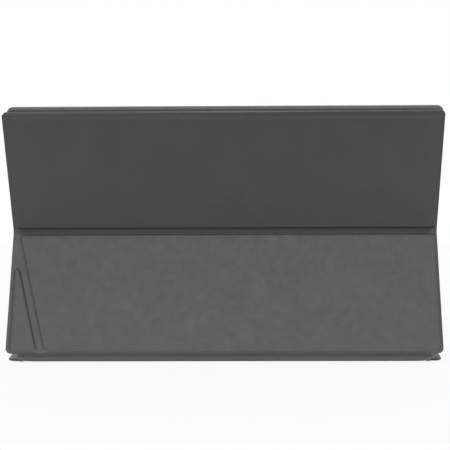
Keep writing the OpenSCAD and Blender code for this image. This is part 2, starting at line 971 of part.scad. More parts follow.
module power_led_lens() {
    color([0.90, 0.93, 0.95])
        in_monitor()
            translate([lens_x, button_y, 0]) {
                layer(plate_z, front_z)
                    circle(lens_d / 2);
                layer(button_pcb_z + key_board_t, plate_z)
                    circle(lens_d / 2 + button_gap);
            }
}
module bezel_magnets() {
    color([0.70, 0.70, 0.72])
        in_monitor()
            magnet_pair(bezel_magnet_y, plate_z - magnet_t, plate_z);
}

front_cover_skin();
front_cover_board();
front_cover_lining();
rear_fold();
foot_mat();
stop_ridges();
closure_magnets();
spine_skin();
spine_board();
spine_lining();
foot_fold();
leg_skin();
leg_board();
leg_lining();
crease_fold();
corner_fold();
corner_skin();
corner_board();
corner_lining();
back_panel_skin();
back_panel_board();
back_panel_lining();
mounting_pad();
rear_housing();
front_bezel();
bezel_gasket();
lcd_panel();
diffuser_sheet();
light_guide();
backlight_tray();
led_strip();
driver_board();
driver_cable();
main_board();
shield_can();
usb_c_socket();
button_board();
power_led_lens();
housing_screws();
board_screws();
bezel_magnets();
power_button();
menu_button();
up_button();
down_button();
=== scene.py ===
import json
import math

import bmesh
import bpy
import numpy as np
from mathutils import Matrix, Vector

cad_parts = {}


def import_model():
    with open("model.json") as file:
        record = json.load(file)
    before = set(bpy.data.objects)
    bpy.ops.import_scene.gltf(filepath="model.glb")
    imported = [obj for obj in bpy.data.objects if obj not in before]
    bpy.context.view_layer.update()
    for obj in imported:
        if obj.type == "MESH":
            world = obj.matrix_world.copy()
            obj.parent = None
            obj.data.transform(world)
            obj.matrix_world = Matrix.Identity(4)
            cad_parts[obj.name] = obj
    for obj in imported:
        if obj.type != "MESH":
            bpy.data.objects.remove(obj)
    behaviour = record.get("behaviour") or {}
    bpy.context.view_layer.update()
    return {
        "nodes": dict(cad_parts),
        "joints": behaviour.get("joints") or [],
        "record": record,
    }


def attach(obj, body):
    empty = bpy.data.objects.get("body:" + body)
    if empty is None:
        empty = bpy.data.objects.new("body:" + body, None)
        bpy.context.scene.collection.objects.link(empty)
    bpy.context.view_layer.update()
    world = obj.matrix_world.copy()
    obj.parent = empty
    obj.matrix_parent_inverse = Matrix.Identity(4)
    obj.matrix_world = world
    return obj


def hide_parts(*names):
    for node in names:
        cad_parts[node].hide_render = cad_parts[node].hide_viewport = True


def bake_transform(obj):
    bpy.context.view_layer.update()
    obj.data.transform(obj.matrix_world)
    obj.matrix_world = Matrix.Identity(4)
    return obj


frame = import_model()
MM = 0.001
ACROSS = Vector((1, 0, 0))

# ---- Places and sizes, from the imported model

nodes = frame["nodes"]
joints = {j["name"]: j for j in frame["joints"]}


def axis_point(name):
    """A point on a joint's axis."""
    return Vector(joints[name]["pos_m"])


def panel_place(origin, along):
    """The frame of a flat panel: x across, y along the panel and z towards its lining."""
    y = along.normalized()
    turn = Matrix((ACROSS, y, ACROSS.cross(y))).transposed()
    return Matrix.Translation(origin) @ turn.to_4x4()


REAR, FOOT, CREASE = axis_point("rear_fold"), axis_point("foot_fold"), axis_point("crease_fold")
SCREEN_OUT = -Vector(joints["power_press"]["axis"])
COVER = panel_place(REAR, Vector((0, 1, 0)))
SPINE = panel_place(REAR, FOOT - REAR)
LEG = panel_place(FOOT, CREASE - FOOT)
DISPLAY = panel_place(CREASE, SCREEN_OUT.cross(ACROSS))


def points_of(node, place):
    """The points of a CAD node in a panel's frame."""
    inverse = place.inverted()
    return np.array([inverse @ v.co for v in nodes[node].data.vertices])


def extent(node, place):
    """Lowest and highest corner of a CAD node in a panel's frame."""
    points = points_of(node, place)
    return points.min(0), points.max(0)


back_low, back_high = extent("back_panel_skin", DISPLAY)
back_board_low, back_board_high = extent("back_panel_board", DISPLAY)
front_low = extent("front_cover_skin", COVER)[0]
front_board_low, front_board_high = extent("front_cover_board", COVER)
spine_high = extent("spine_skin", SPINE)[1]
spine_board_low, spine_board_high = extent("spine_board", SPINE)
leg_board_low, leg_board_high = extent("leg_board", LEG)
flap_board_high = extent("corner_board", LEG)[1]

HALF_W = back_high[0]
SPINE_HALF_W = spine_high[0]
SKIN_OUT = back_low[2]
BOARD_IN = back_board_high[2]
LINING_IN = extent("back_panel_lining", DISPLAY)[1][2]
SKIN_T = back_board_low[2] - SKIN_OUT
RELIEF = 0.6 * MM  # how far a board's print stands out of the hem around it
HEM_OUT = SKIN_OUT + RELIEF
LIP = 0.9 * MM  # a panel runs this far past its print before a fold begins
SPINE_PITCH = (FOOT - REAR).length
HEAD_Y = leg_board_high[1] + SKIN_T + LIP
FOOT_Y = leg_board_low[1] - SKIN_T - LIP
BACK_Y = back_board_low[1] - SKIN_T - LIP
SPINE_LOW_Y = FOOT_Y
SPINE_HIGH_Y = SPINE_PITCH - FOOT_Y

# the corner fold, as a line in the leg's frame
FOLD_DIRECTION = LEG.inverted().to_3x3() @ Vector(joints["corner_fold"]["axis"])
FOLD_POINT = LEG.inverted() @ axis_point("corner_fold")
FOLD_SLOPE = math.atan2(FOLD_DIRECTION.x, FOLD_DIRECTION.y)
FOLD_COS = math.cos(FOLD_SLOPE)


def fold_x(y, away=0.0):
    """x of a line along the corner fold, away from it towards the leg's middle."""
    return FOLD_POINT.x + (y - FOLD_POINT.y) * math.tan(FOLD_SLOPE) - away / FOLD_COS


def fold_gap(node):
    """Least distance of a CAD node from the corner fold."""
    return min(abs(fold_x(y) - x) for x, y, _ in points_of(node, LEG)) * FOLD_COS


FLAP_HALF = fold_gap("leg_board") - SKIN_T
STRIP_HALF = FLAP_HALF - LIP
FLAP_SLIT = 0.08 * MM
FLAP_POINT = 0.05 * MM  # cut off the flap's sharp head, so that no mesh edge has no length
FLAP_TUCK = 0.6 * MM  # the flap's foot isn't rounded as far as its other free edges
FLAP_APEX_Y = FOLD_POINT.y + (HALF_W - STRIP_HALF / FOLD_COS - FOLD_POINT.x) / math.tan(FOLD_SLOPE)

TOP_CORNER_R = 4 * MM
FOOT_CORNER_R = 4.8 * MM
FRONT_CORNER_R = 6.5 * MM
BOARD_CORNER_R = 3 * MM
SPINE_CORNER_R = 1.5 * MM
LEG_PRINT_R = 4.4 * MM  # the leg print's corner at the foot of the slanted side
LEG_HEAD_R = 2 * MM
FLAP_TIP_R = 1.8 * MM
TAB_END = 2 * MM  # a rolled edge ends this far from the ends of its tab
HEM_CUT = 1.5 * MM  # the back panel's top hem is this much narrower at one end

# ---- Cover profile: hem, pressed groove and shoulder of the board's print

HEM_ROUND = 0.68 * MM
INNER_ROUND = 0.3 * MM
LINING_ROUND = 0.35 * MM
LINING_INSET = 0.8 * MM  # how far the lining is drawn in at a free edge
LINING_REACH = 3 * MM  # width of the band that is drawn in
LINING_DIP = 0.2 * MM  # outside the board
DIP_EASE = 0.6 * MM
LINING_OVERLAP = 0.04 * MM
PADDING_WIDTH = 2.4 * MM
SHOULDER = 0.85 * MM  # of the print, where its groove is strong, and where it is weak
SOFT_SHOULDER = 3.2 * MM
STRONG = 0.6  # strength of a groove from which its shoulder is steepest
RIPPLE_HEIGHT = 0.04 * MM
RIPPLE_FADE = 12 * MM
GROOVE_DEPTH = 0.8 * MM
GROOVE_AT = 0.42 * MM
GROOVE_HALF = 0.42 * MM
CREASE_DROP = 0.5 * MM  # bare skin at the crease, below the hem
ROLL_START = 1.3 * MM  # where the skin begins to roll over the spine's folds, inside the board's print
ROLL_R = 2.4 * MM
ROLL_EASE = 0.6 * MM
DROP_LEAD = 0.1 * MM
DROP_EASE = 0.5 * MM
GROOVE_FADE = 5 * MM  # grooves run out towards a rolled edge
DROP_FADE = 1.6 * MM
ROLL_FADE = 5 * MM
MIX_POWER = -4.0  # how sharply the strength of a groove changes at a corner
MIX_ROUND = 0.4 * MM
EDGE_LINES = np.array([0, 0.06, 0.18, 0.36, 0.6, 0.9]) * MM
PRINT_LINES = np.array([-0.95, -0.78, -0.64, -0.52, -0.4, -0.3, -0.2, -0.1, 0.02, 0.15, 0.3, 0.45, 0.6,
                        0.75, 0.95, 1.2, 1.5, 1.9, 2.4, 3.0, 3.8, 5.0, 7.5]) * MM
LINE_SPACE = 0.045 * MM  # mesh lines nearer than this are left out

# mesh density: even rows and columns between the close lines at the edges, and steps across a fold
BACK_ROWS, LEG_ROWS, FLAP_ROWS, FRONT_ROWS = 14, 16, 24, 20
PANEL_COLUMNS, FLAP_COLUMNS, STRIP_COLUMNS = 34, 12, 2
FLAP_TIP_ROWS, FLAP_TIP_REACH = 90, 22 * MM
STRIP_HEAD_ROWS = 12
SPINE_MIDDLE = 0.1 * MM  # left free of close lines at the middle of the spine
STRIP_LINES = np.linspace(0, 2, 9) * MM
FOLD_STEPS = 14
FOLD_HANDLE, CREASE_HANDLE = 0.37, 0.15  # pull of a fold's ends, as shares of its width


def lines(hem, free=True):
    """Distances from a side at which the cover needs a mesh line."""
    wanted = list(EDGE_LINES if free else EDGE_LINES[:1]) + [hem + p for p in PRINT_LINES]
    kept = [0.0]
    for line in sorted(wanted):
        if line - kept[-1] > LINE_SPACE:
            kept.append(line)
    return np.array(kept)


def outline(corners, steps=10):
    """Closed outline through corners (x, y, radius), anticlockwise, as an array of points."""
    points = []
    for i, (x, y, r) in enumerate(corners):
        b = np.array([x, y])
        a, c = np.array(corners[i - 1][:2]), np.array(corners[(i + 1) % len(corners)][:2])
        if r == 0:
            points.append(b)
            continue
        u, v = (a - b) / np.linalg.norm(a - b), (c - b) / np.linalg.norm(c - b)
        half = math.acos(np.clip(u @ v, -1, 1)) / 2
        middle = (u + v) / np.linalg.norm(u + v)
        centre = b + middle * r / math.sin(half)
        start = math.atan2(-middle[1], -middle[0]) - (math.pi / 2 - half)
        for turn in np.linspace(start, start + math.pi - 2 * half, steps + 1):
            points.append(centre + r * np.array([math.cos(turn), math.sin(turn)]))
    return np.array(points)


def box_corners(low, high, r):
    """The corners of a rectangle with the radius r, for outline()."""
    return [(low[0], low[1], r), (high[0], low[1], r), (high[0], high[1], r), (low[0], high[1], r)]


def from_sides(x, y, line):
    """Points as rows, an outline's corners a and b and sides, and how far each point is from each side."""
    p = np.stack([x.ravel(), y.ravel()], 1)[:, None, :]
    a, b = line[None], np.roll(line, -1, 0)[None]
    along = b - a
    t = np.clip(((p - a) * along).sum(2) / (along ** 2).sum(2), 0, 1)
    return p, a, b, along, np.linalg.norm(p - a - t[..., None] * along, axis=2)


def inside(x, y, line):
    """Distance of points inside an outline, negative outside it."""
    p, a, b, along, distances = from_sides(x, y, line)
    distance = distances.min(1)
    above = (a[..., 1] > p[..., 1]) != (b[..., 1] > p[..., 1])
    rise = np.where(along[..., 1] == 0, 1, along[..., 1])
    cross = a[..., 0] + (p[..., 1] - a[..., 1]) / rise * along[..., 0]
    within = (above & (p[..., 0] < cross)).sum(1) % 2 == 1
    return np.where(within, distance, -distance).reshape(x.shape)


def smooth(t):
    """Runs from 0 to 1 as t does, level at both ends."""
    t = np.clip(t, 0, 1)
    return t * t * (3 - 2 * t)


def rounding(depth, r):
    """How far a rounded edge has dropped, depth inside that edge."""
    e = np.clip(1 - depth / r, 0, 1)
    return r * (1 - np.sqrt(1 - e * e))


def side_mix(x, y, corners, strengths):
    """A value for each point: the strength of the print's nearest side. Side i starts at corner i."""
    total, weights = 0, 0
    for i, strength in enumerate(strengths):
        ax, ay = corners[i][:2]
        bx, by = corners[(i + 1) % len(corners)][:2]
        dx, dy = bx - ax, by - ay
        t = np.clip(((x - ax) * dx + (y - ay) * dy) / (dx * dx + dy * dy), 0, 1)
        away = np.hypot(x - ax - t * dx, y - ay - t * dy) + MIX_ROUND
        weight = away ** MIX_POWER
        total, weights = total + strength * weight, weights + weight
    return total / weights


def between(x, low, high, fade):
    """1 between low and high, running out to 0 at both."""
    return smooth((x - low) / fade) * smooth((high - x) / fade)


def pressed(x, y, corners, strengths, seams=()):
    """Depth of points inside a board's print, the strength of its groove there, and the groove's depth."""
    within = inside(x, y, outline(corners))
    strength = side_mix(x, y, corners, strengths)
    for seam in seams:
        strength = strength * seam.fade(y)
    groove = np.exp(-(((within + GROOVE_AT) / GROOVE_HALF) ** 2)) * GROOVE_DEPTH * strength
    return within, strength, groove


def ripple(x, y):
    """Slight unevenness of glued skin, from -1 to 1: three waves 50 to 150 mm long."""
    a, b = x / MM, y / MM
    return (np.sin(a / 23 + 1.3 * np.sin(b / 31)) + np.sin(b / 17 + a / 57)
            + np.sin(a / 9.1 - b / 13.7 + 2)) / 3


# ---- Mesh building

MERGE = 0.004 * MM
SHEET_SMOOTH_ANGLE = 40  # degrees
TANGENT_STEP = 0.01 * MM


def add_object(name, mesh, body=None):
    """Adds a mesh to the scene, riding on a body."""
    obj = bpy.data.objects.new(name, mesh)
    bpy.context.scene.collection.objects.link(obj)
    if body:
        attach(obj, body)
    return obj


def closed_grid(name, top, bottom, body=None):
    """A piece that is a closed solid between two grids of points, each (rows, columns, 3)."""
    rows, columns = top.shape[:2]
    points = np.concatenate([top.reshape(-1, 3), bottom.reshape(-1, 3)])
    index = np.arange(rows * columns).reshape(rows, columns)
    faces = np.stack([index[:-1, :-1], index[:-1, 1:], index[1:, 1:], index[1:, :-1]], -1).reshape(-1, 4)
    ring = np.concatenate([index[0, :-1], index[:-1, -1], index[-1, :0:-1], index[:0:-1, 0]])
    after = np.roll(ring, -1)
    under = rows * columns
    walls = np.stack([ring, after, after + under, ring + under], -1)
    every = np.concatenate([faces, faces[:, ::-1] + under, walls[:, ::-1]])
    mesh = bpy.data.meshes.new(name)
    mesh.from_pydata(points.tolist(), [], every.tolist())
    return add_object(name, finish_mesh(mesh, SHEET_SMOOTH_ANGLE), body)


def finish_mesh(mesh, sharp):
    """Joins doubled points, turns the faces outwards and smooths all edges but those above sharp degrees."""
    bm = bmesh.new()
    bm.from_mesh(mesh)
    bmesh.ops.remove_doubles(bm, verts=bm.verts, dist=MERGE)
    bmesh.ops.dissolve_degenerate(bm, edges=bm.edges, dist=MERGE)
    bmesh.ops.recalc_face_normals(bm, faces=bm.faces)
    bm.to_mesh(mesh)
    bm.free()
    mesh.shade_smooth()
    mesh.set_sharp_from_angle(angle=math.radians(sharp))
    mesh.validate()
    return mesh


def placed(x, y, z, place):
    """Points of a grid in the row frame."""
    m = np.array(place)
    local = np.stack([x, y, z], -1)
    return local @ m[:3, :3].T + m[:3, 3]


def panel_grid(rows, left, right, near, far, columns):
    """x and y of a grid whose first and last columns follow the panel's sides."""
    xs = []
    for y in rows:
        low, high = left(y), right(y)
        half = (high - low) / 2
        a = low + np.minimum(near, half)
        b = (high - np.minimum(far, half))[::-1]
        xs.append(np.concatenate([a, np.linspace(a[-1], b[0], columns + 2)[1:-1], b]))
    x = np.array(xs)
    return x, np.repeat(np.array(rows)[:, None], x.shape[1], 1)


def round_corner(x, y, corner, toward, r):
    """Pulls the grid's square corner in to an arc. toward is its direction, (1, 1) for upper right."""
    u = toward[0] * (x - corner[0]) / r + 1
    v = toward[1] * (y - corner[1]) / r + 1
    hit = (u > 0) & (v > 0)
    u2 = np.where(hit, u * np.sqrt(np.maximum(1 - v * v / 2, 0)), u)
    v2 = np.where(hit, v * np.sqrt(np.maximum(1 - u * u / 2, 0)), v)
    return corner[0] + toward[0] * r * (u2 - 1), corner[1] + toward[1] * r * (v2 - 1)


def spread(low, high, start, end, count):
    """Row heights: distances start from low, then even rows, then distances end from high."""
    a, b = low + start, (high - end)[::-1]
    return np.concatenate([a, np.linspace(a[-1], b[0], count + 2)[1:-1], b])


def pull(x, y, line):
    """Unit direction, into the outline, at each grid point."""
    along, distances = from_sides(x, y, line)[3:]
    pick = distances.argmin(1)
    normal = np.stack([-along[0, pick, 1], along[0, pick, 0]], 1)
    normal /= np.linalg.norm(normal, axis=1)[:, None]
    return normal[:, 0].reshape(x.shape), normal[:, 1].reshape(x.shape)


class Seam:
    """The edge at which a panel's skin goes on into a fold: a line across the panel at height y.

    In each reach, from one x to another, the skin is drop below the hem, or else it rolls over from the
    print's level."""

    def __init__(self, place, y, into, reaches, print_y, drop=None):
        self.place, self.y, self.into = place, y, into
        self.reaches, self.print_y, self.drop = reaches, print_y, drop

    def fade(self, y):
        """Share of a groove's depth that is left near the seam."""
        return 1.0 if self.drop else smooth((self.print_y - y) * self.into / GROOVE_FADE)

    def shape(self, x, y, level):
        """The panel's level near the seam."""
        fade = DROP_FADE if self.drop else ROLL_FADE
        share = sum(between(x, *reach, fade) for reach in self.reaches)
        past = (y - self.print_y) * self.into
        if self.drop is None:
            rolled = SKIN_OUT + np.maximum(past + ROLL_START, 0) ** 2 / (2 * ROLL_R)
            near = smooth((past + ROLL_START + ROLL_EASE) / ROLL_EASE) * share
            return level + (rolled - level) * near
        return level + self.drop * share * smooth((past + DROP_LEAD) / DROP_EASE)

    def edge(self, x):
        """Points of the skin's outer edge at the seam, and the direction in which it goes on."""
        y = np.full_like(x, self.y)
        level = self.shape(x, y, np.full_like(x, HEM_OUT))
        y_before = y - self.into * TANGENT_STEP
        before = self.shape(x, y_before, np.full_like(x, HEM_OUT))
        points = placed(x, y, level, self.place)
        way = points - placed(x, y_before, before, self.place)
        return points, way / np.linalg.norm(way, axis=1)[:, None]

    def line(self, x, z):
        """Points of a level line at the seam, and the panel's own direction."""
        y = np.full_like(x, self.y)
        way = np.array(self.place.to_3x3() @ Vector((0, self.into, 0)))
        return placed(x, y, z + np.zeros_like(x), self.place), np.repeat(way[None], len(x), 0)


def panel(name, body, place, rows, sides, hems, columns, free_edge, corners, strengths, seams=(), rounds=(),
          cut=None, lining_edge=None, padding=0.0):
    """The skin and the lining of one cover panel. corners and strengths are those of its print.

    cut moves points of the skin's grid to a hem that isn't cut square, and lining_edge is then the
    lining's own outline. padding is how much thicker the lining is at its free edges."""
    x, y = panel_grid(rows, *sides, *hems, columns)
    for corner, toward, r in rounds:
        x, y = round_corner(x, y, corner, toward, r)
    skin_y = cut(x, y) if cut else y
    lining_line = free_edge if lining_edge is None else lining_edge
    return (leather_sheet(name, body, place, x, skin_y, free_edge, corners, strengths, seams),
            lining_sheet(name, body, place, x, y, lining_line, corners, padding))


def leather_sheet(name, body, place, x, y, free_edge, corners, strengths, seams):
    """The skin of a panel, pressed around its board and rounded at its free edges."""
    depth = inside(x, y, free_edge)
    within, strength, groove = pressed(x, y, corners, strengths, seams)
    wave = RIPPLE_HEIGHT * (1 + ripple(x, y)) * smooth(within / RIPPLE_FADE)
    shoulder = SOFT_SHOULDER + (SHOULDER - SOFT_SHOULDER) * smooth(strength / STRONG)
    top = HEM_OUT + (SKIN_OUT - HEM_OUT) * smooth(within / shoulder) + groove
    for seam in seams:
        top = seam.shape(x, y, top)
    top += rounding(depth, HEM_ROUND) + wave
    bottom = BOARD_IN - rounding(depth, INNER_ROUND)
    return closed_grid(name + "_leather", placed(x, y, top, place), placed(x, y, bottom, place), body)


def lining_sheet(name, body, place, x, y, line, corners, padding):
    """The lining of a panel: a thinner sheet of the skin's grid, drawn in from the free edges."""
    depth = inside(x, y, line)
    reach = np.clip(1 - depth / LINING_REACH, 0, 1) * LINING_INSET
    inward = pull(x, y, line)
    x_in, y_in = x + inward[0] * reach, y + inward[1] * reach
    dip = LINING_DIP * (1 - smooth((inside(x, y, outline(corners)) + DIP_EASE) / (2 * DIP_EASE)))
    level = LINING_IN - dip - rounding(np.maximum(depth, 0), LINING_ROUND)
    level += padding * (1 - smooth(depth / PADDING_WIDTH))
    base = np.full_like(level, BOARD_IN - LINING_OVERLAP)
    return closed_grid(
        name + "_microfibre", placed(x_in, y_in, base, place), placed(x_in, y_in, level, place), body)


def bent(first, second, handle=FOLD_HANDLE):
    """A smooth sheet from one edge to another. Each is its points and the ways in which it goes on."""
    (a, u), (b, v) = first, second
    reach = handle * np.linalg.norm(b - a, axis=1)[:, None]
    t = np.linspace(0, 1, FOLD_STEPS)[:, None, None]
    return ((1 - t) ** 3 * a + 3 * (1 - t) ** 2 * t * (a + u * reach)
            + 3 * (1 - t) * t ** 2 * (b + v * reach) + t ** 3 * b)


def fold_strip(name, seams, x, free, handle=FOLD_HANDLE):
    """The skin and the lining that bend across a fold. free is the half width at its free ends."""
    depth = free - np.abs(x)
    up = [np.array(seam.place.to_3x3() @ Vector((0, 0, 1))) for seam in seams]
    edges = []
    for seam, normal in zip(seams, up):
        points, way = seam.edge(x)
        edges.append((points + normal * rounding(depth, HEM_ROUND)[:, None], way))
    top = bent(*edges, handle)
    bottom = bent(*(seam.line(x, BOARD_IN - rounding(depth, INNER_ROUND)) for seam in seams))
    skin = closed_grid(name + "_leather", top, bottom)
    drawn = x - np.clip(1 - depth / LINING_REACH, 0, 1) * LINING_INSET * np.sign(x)
    base = bent(*(seam.line(drawn, BOARD_IN - LINING_OVERLAP) for seam in seams))
    inner = bent(*(seam.line(drawn, LINING_IN - LINING_DIP - rounding(depth, LINING_ROUND))
                   for seam in seams))
    lining = closed_grid(name + "_microfibre", base, inner)
    for piece in (skin, lining):
        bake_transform(piece)
    return skin, lining


FAR = 30 * MM  # how far an outline runs past a side that isn't free


def grown(low, high):
    """The print of a board: its box, grown by the skin's thickness."""
    return low[:2] - SKIN_T, high[:2] + SKIN_T


def straight(half_width):
    """The two sides of a panel that is as wide at each height."""
    return lambda y: -half_width, lambda y: half_width


# mesh lines beside a seam, where the print ends a lip's width from it
seam_lines = lines(LIP, free=False)

# back panel, glued to the display
back_print = grown(back_board_low, back_board_high)
top_y = back_high[1]
leg_print_left = leg_board_low[0] - SKIN_T
leg_print_low = leg_board_low[1] - SKIN_T
leg_print_high = leg_board_high[1] + SKIN_T
crease_reach = [(back_print[0][0], fold_x(leg_print_high, FLAP_HALF))]
crease_high = Seam(DISPLAY, BACK_Y, -1, crease_reach, back_print[0][1], CREASE_DROP)
crease_low = Seam(LEG, HEAD_Y, 1, crease_reach, leg_print_high, CREASE_DROP)


def back_edge(cut):
    """The back panel's outline, with its top edge lowered by cut at one end."""
    return outline([(-HALF_W, BACK_Y - FAR, 0), (HALF_W, BACK_Y - FAR, 0),
                    (HALF_W, top_y - cut, TOP_CORNER_R), (-HALF_W, top_y, TOP_CORNER_R)])


def cut_hem(x, y):
    """The top hem narrows by HEM_CUT from one end to the other."""
    hem_y = back_print[1][1]
    share = (x + HALF_W) / (2 * HALF_W) * np.clip((y - hem_y) / (top_y - hem_y), 0, 1)
    return y - HEM_CUT * share


back_corners = box_corners(*back_print, BOARD_CORNER_R)
back_hems = (lines(back_print[0][0] + HALF_W), lines(HALF_W - back_print[1][0]))
back_rows = spread(BACK_Y, top_y, seam_lines, lines(top_y - back_print[1][1]), BACK_ROWS)
back_padding = extent("mounting_pad", DISPLAY)[1][2] - LINING_IN + LINING_DIP
back_skin, back_lining = panel(
    "back_panel", "display", DISPLAY, back_rows, straight(HALF_W), back_hems, PANEL_COLUMNS,
    back_edge(HEM_CUT), back_corners, strengths=(1, 0.05, 0.02, 0.1), seams=[crease_high],
    rounds=[((-HALF_W, top_y), (-1, 1), TOP_CORNER_R), ((HALF_W, top_y), (1, 1), TOP_CORNER_R)],
    cut=cut_hem, lining_edge=back_edge(0), padding=back_padding)

# leg, corner fold and corner flap: one sheet with a tab towards the spine
foot_reach = [(-SPINE_HALF_W + TAB_END, fold_x(FOOT_Y, FLAP_HALF)),
              (fold_x(FOOT_Y, -FLAP_HALF), SPINE_HALF_W - TAB_END)]
foot_high = Seam(LEG, FOOT_Y, -1, foot_reach, leg_print_low)
sheet_free = outline([
    (-HALF_W, HEAD_Y + FAR, 0), (-HALF_W, FOOT_Y, FOOT_CORNER_R), (-SPINE_HALF_W, FOOT_Y, 0),
    (-SPINE_HALF_W, FOOT_Y - FAR, 0), (SPINE_HALF_W, FOOT_Y - FAR, 0), (SPINE_HALF_W, FOOT_Y, 0),
    (HALF_W, FOOT_Y, FOOT_CORNER_R), (HALF_W, HEAD_Y + FAR, 0)])
leg_corners = [
    (leg_print_left, leg_print_low, FOOT_CORNER_R - (leg_print_left + HALF_W)),
    (fold_x(leg_print_low, FLAP_HALF), leg_print_low, LEG_PRINT_R),
    (fold_x(leg_print_high, FLAP_HALF), leg_print_high, BOARD_CORNER_R),
    (leg_print_left, leg_print_high, LEG_HEAD_R)]
leg_strengths = (0, 0.55, 0.8, 0.45)
leg_rows = spread(FOOT_Y, HEAD_Y, seam_lines, seam_lines, LEG_ROWS)
slanted_lines = seam_lines / FOLD_COS
leg_skin, leg_lining = panel(
    "leg", "leg", LEG, leg_rows, (lambda y: -HALF_W, lambda y: fold_x(y, STRIP_HALF)),
    (lines(leg_print_left + HALF_W), slanted_lines), PANEL_COLUMNS, sheet_free, leg_corners,
    leg_strengths, seams=[crease_low, foot_high], rounds=[((-HALF_W, FOOT_Y), (-1, -1), FOOT_CORNER_R)])

flap_low = FOOT_Y + FLAP_SLIT
flap_print_side = flap_board_high[0] + SKIN_T
flap_edge = Seam(LEG, flap_low, -1, [(fold_x(flap_low, -FLAP_HALF), flap_print_side)], flap_low + LIP)
flap_tip = FOLD_POINT.y + (flap_print_side - FLAP_HALF / FOLD_COS - FOLD_POINT.x) / math.tan(FOLD_SLOPE)
flap_far = HALF_W - 4 * FAR  # past the corner fold at every height
flap_free = outline([
    (flap_far, flap_low - FLAP_TUCK, 0), (HALF_W, flap_low - FLAP_TUCK, FOOT_CORNER_R),
    (HALF_W, HEAD_Y + FAR, 0), (flap_far, HEAD_Y + FAR, 0)])
flap_corners = [
    (fold_x(flap_low, -FLAP_HALF), flap_low, BOARD_CORNER_R),
    (flap_print_side, flap_low, FOOT_CORNER_R - (HALF_W - flap_print_side)),
    (flap_print_side, flap_tip, FLAP_TIP_R)]
flap_strengths = (0, 0.6, 1)
flap_tip_lines = np.linspace(0, FLAP_APEX_Y - flap_tip + FLAP_TIP_REACH, FLAP_TIP_ROWS)
flap_rows = spread(flap_low, FLAP_APEX_Y - FLAP_POINT, lines(LIP), flap_tip_lines, FLAP_ROWS)
flap_skin, flap_lining = panel(
    "corner", "corner_flap", LEG, flap_rows, (lambda y: fold_x(y, -STRIP_HALF), lambda y: HALF_W),
    (slanted_lines, lines(HALF_W - flap_print_side)), FLAP_COLUMNS, flap_free, flap_corners,
    flap_strengths, seams=[flap_edge], rounds=[((HALF_W, flap_low), (1, -1), FOOT_CORNER_R)])

# strip of skin along the corner fold
strip_rows = np.concatenate([[FOOT_Y], flap_rows, np.linspace(FLAP_APEX_Y, HEAD_Y, STRIP_HEAD_ROWS)])
strip_x, strip_y = panel_grid(
    strip_rows, lambda y: fold_x(y, STRIP_HALF), lambda y: min(fold_x(y, -STRIP_HALF), HALF_W),
    STRIP_LINES, EDGE_LINES, STRIP_COLUMNS)
strip_depth = inside(strip_x, strip_y, sheet_free)
strip_groove = (pressed(strip_x, strip_y, leg_corners, leg_strengths, [foot_high])[2]
                + pressed(strip_x, strip_y, flap_corners, flap_strengths, [flap_edge])[2])
strip_levels = {
    "corner_fold_leather": (HEM_OUT + strip_groove + rounding(strip_depth, HEM_ROUND),
                            BOARD_IN - rounding(strip_depth, INNER_ROUND)),
    "corner_fold_microfibre": (np.full_like(strip_x, BOARD_IN - LINING_OVERLAP),
                               LINING_IN - LINING_DIP - rounding(np.maximum(strip_depth, 0), LINING_ROUND)),
}
strips = {}
for name, (top, bottom) in strip_levels.items():
    strips[name] = closed_grid(
        name, placed(strip_x, strip_y, top, LEG), placed(strip_x, strip_y, bottom, LEG))
    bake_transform(strips[name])

# front cover: one sheet with a tab towards the spine
front_print = grown(front_board_low, front_board_high)
front_rear = front_print[1][1] + LIP
rear_reach = [(-SPINE_HALF_W + TAB_END, SPINE_HALF_W - TAB_END)]
rear_low = Seam(COVER, front_rear, 1, rear_reach, front_print[1][1])
front_free = outline([
    (-HALF_W, front_low[1], FRONT_CORNER_R), (HALF_W, front_low[1], FRONT_CORNER_R),
    (HALF_W, front_rear, FRONT_CORNER_R), (SPINE_HALF_W, front_rear, 0), (SPINE_HALF_W, front_rear + FAR, 0),
    (-SPINE_HALF_W, front_rear + FAR, 0), (-SPINE_HALF_W, front_rear, 0),
    (-HALF_W, front_rear, FRONT_CORNER_R)])
front_hems = (lines(front_print[0][0] + HALF_W), lines(HALF_W - front_print[1][0]))
front_end = lines(front_print[0][1] - front_low[1])
front_rows = spread(front_low[1], front_rear, front_end, seam_lines, FRONT_ROWS)
front_skin, front_lining = panel(
    "front_cover", "front_cover", COVER, front_rows, straight(HALF_W), front_hems, PANEL_COLUMNS,
    front_free, box_corners(*front_print, BOARD_CORNER_R), strengths=(0.3, 0.3, 0, 0.3),
    seams=[rear_low],
    rounds=[((sx * HALF_W, y), (sx, sy), FRONT_CORNER_R)
            for sx in (-1, 1) for sy, y in ((-1, front_low[1]), (1, front_rear))])

# spine
spine_print = grown(spine_board_low, spine_board_high)
rear_high = Seam(SPINE, SPINE_LOW_Y, -1, rear_reach, spine_print[0][1])
foot_low = Seam(SPINE, SPINE_HIGH_Y, 1, foot_reach, spine_print[1][1])
spine_free = outline([(-SPINE_HALF_W, SPINE_LOW_Y - FAR, 0), (SPINE_HALF_W, SPINE_LOW_Y - FAR, 0),
                      (SPINE_HALF_W, SPINE_HIGH_Y + FAR, 0), (-SPINE_HALF_W, SPINE_HIGH_Y + FAR, 0)])
spine_side = lines(SPINE_HALF_W - spine_print[1][0])
spine_hems = (spine_side, spine_side)
spine_end = seam_lines[seam_lines < (SPINE_HIGH_Y - SPINE_LOW_Y) / 2 - SPINE_MIDDLE]
spine_rows = spread(SPINE_LOW_Y, SPINE_HIGH_Y, spine_end, spine_end, 1)
spine_skin, spine_lining = panel(
    "spine", "spine", SPINE, spine_rows, straight(SPINE_HALF_W), spine_hems, PANEL_COLUMNS, spine_free,
    box_corners(*spine_print, SPINE_CORNER_R), strengths=(0, 0.1, 0, 0.1), seams=[rear_high, foot_low])

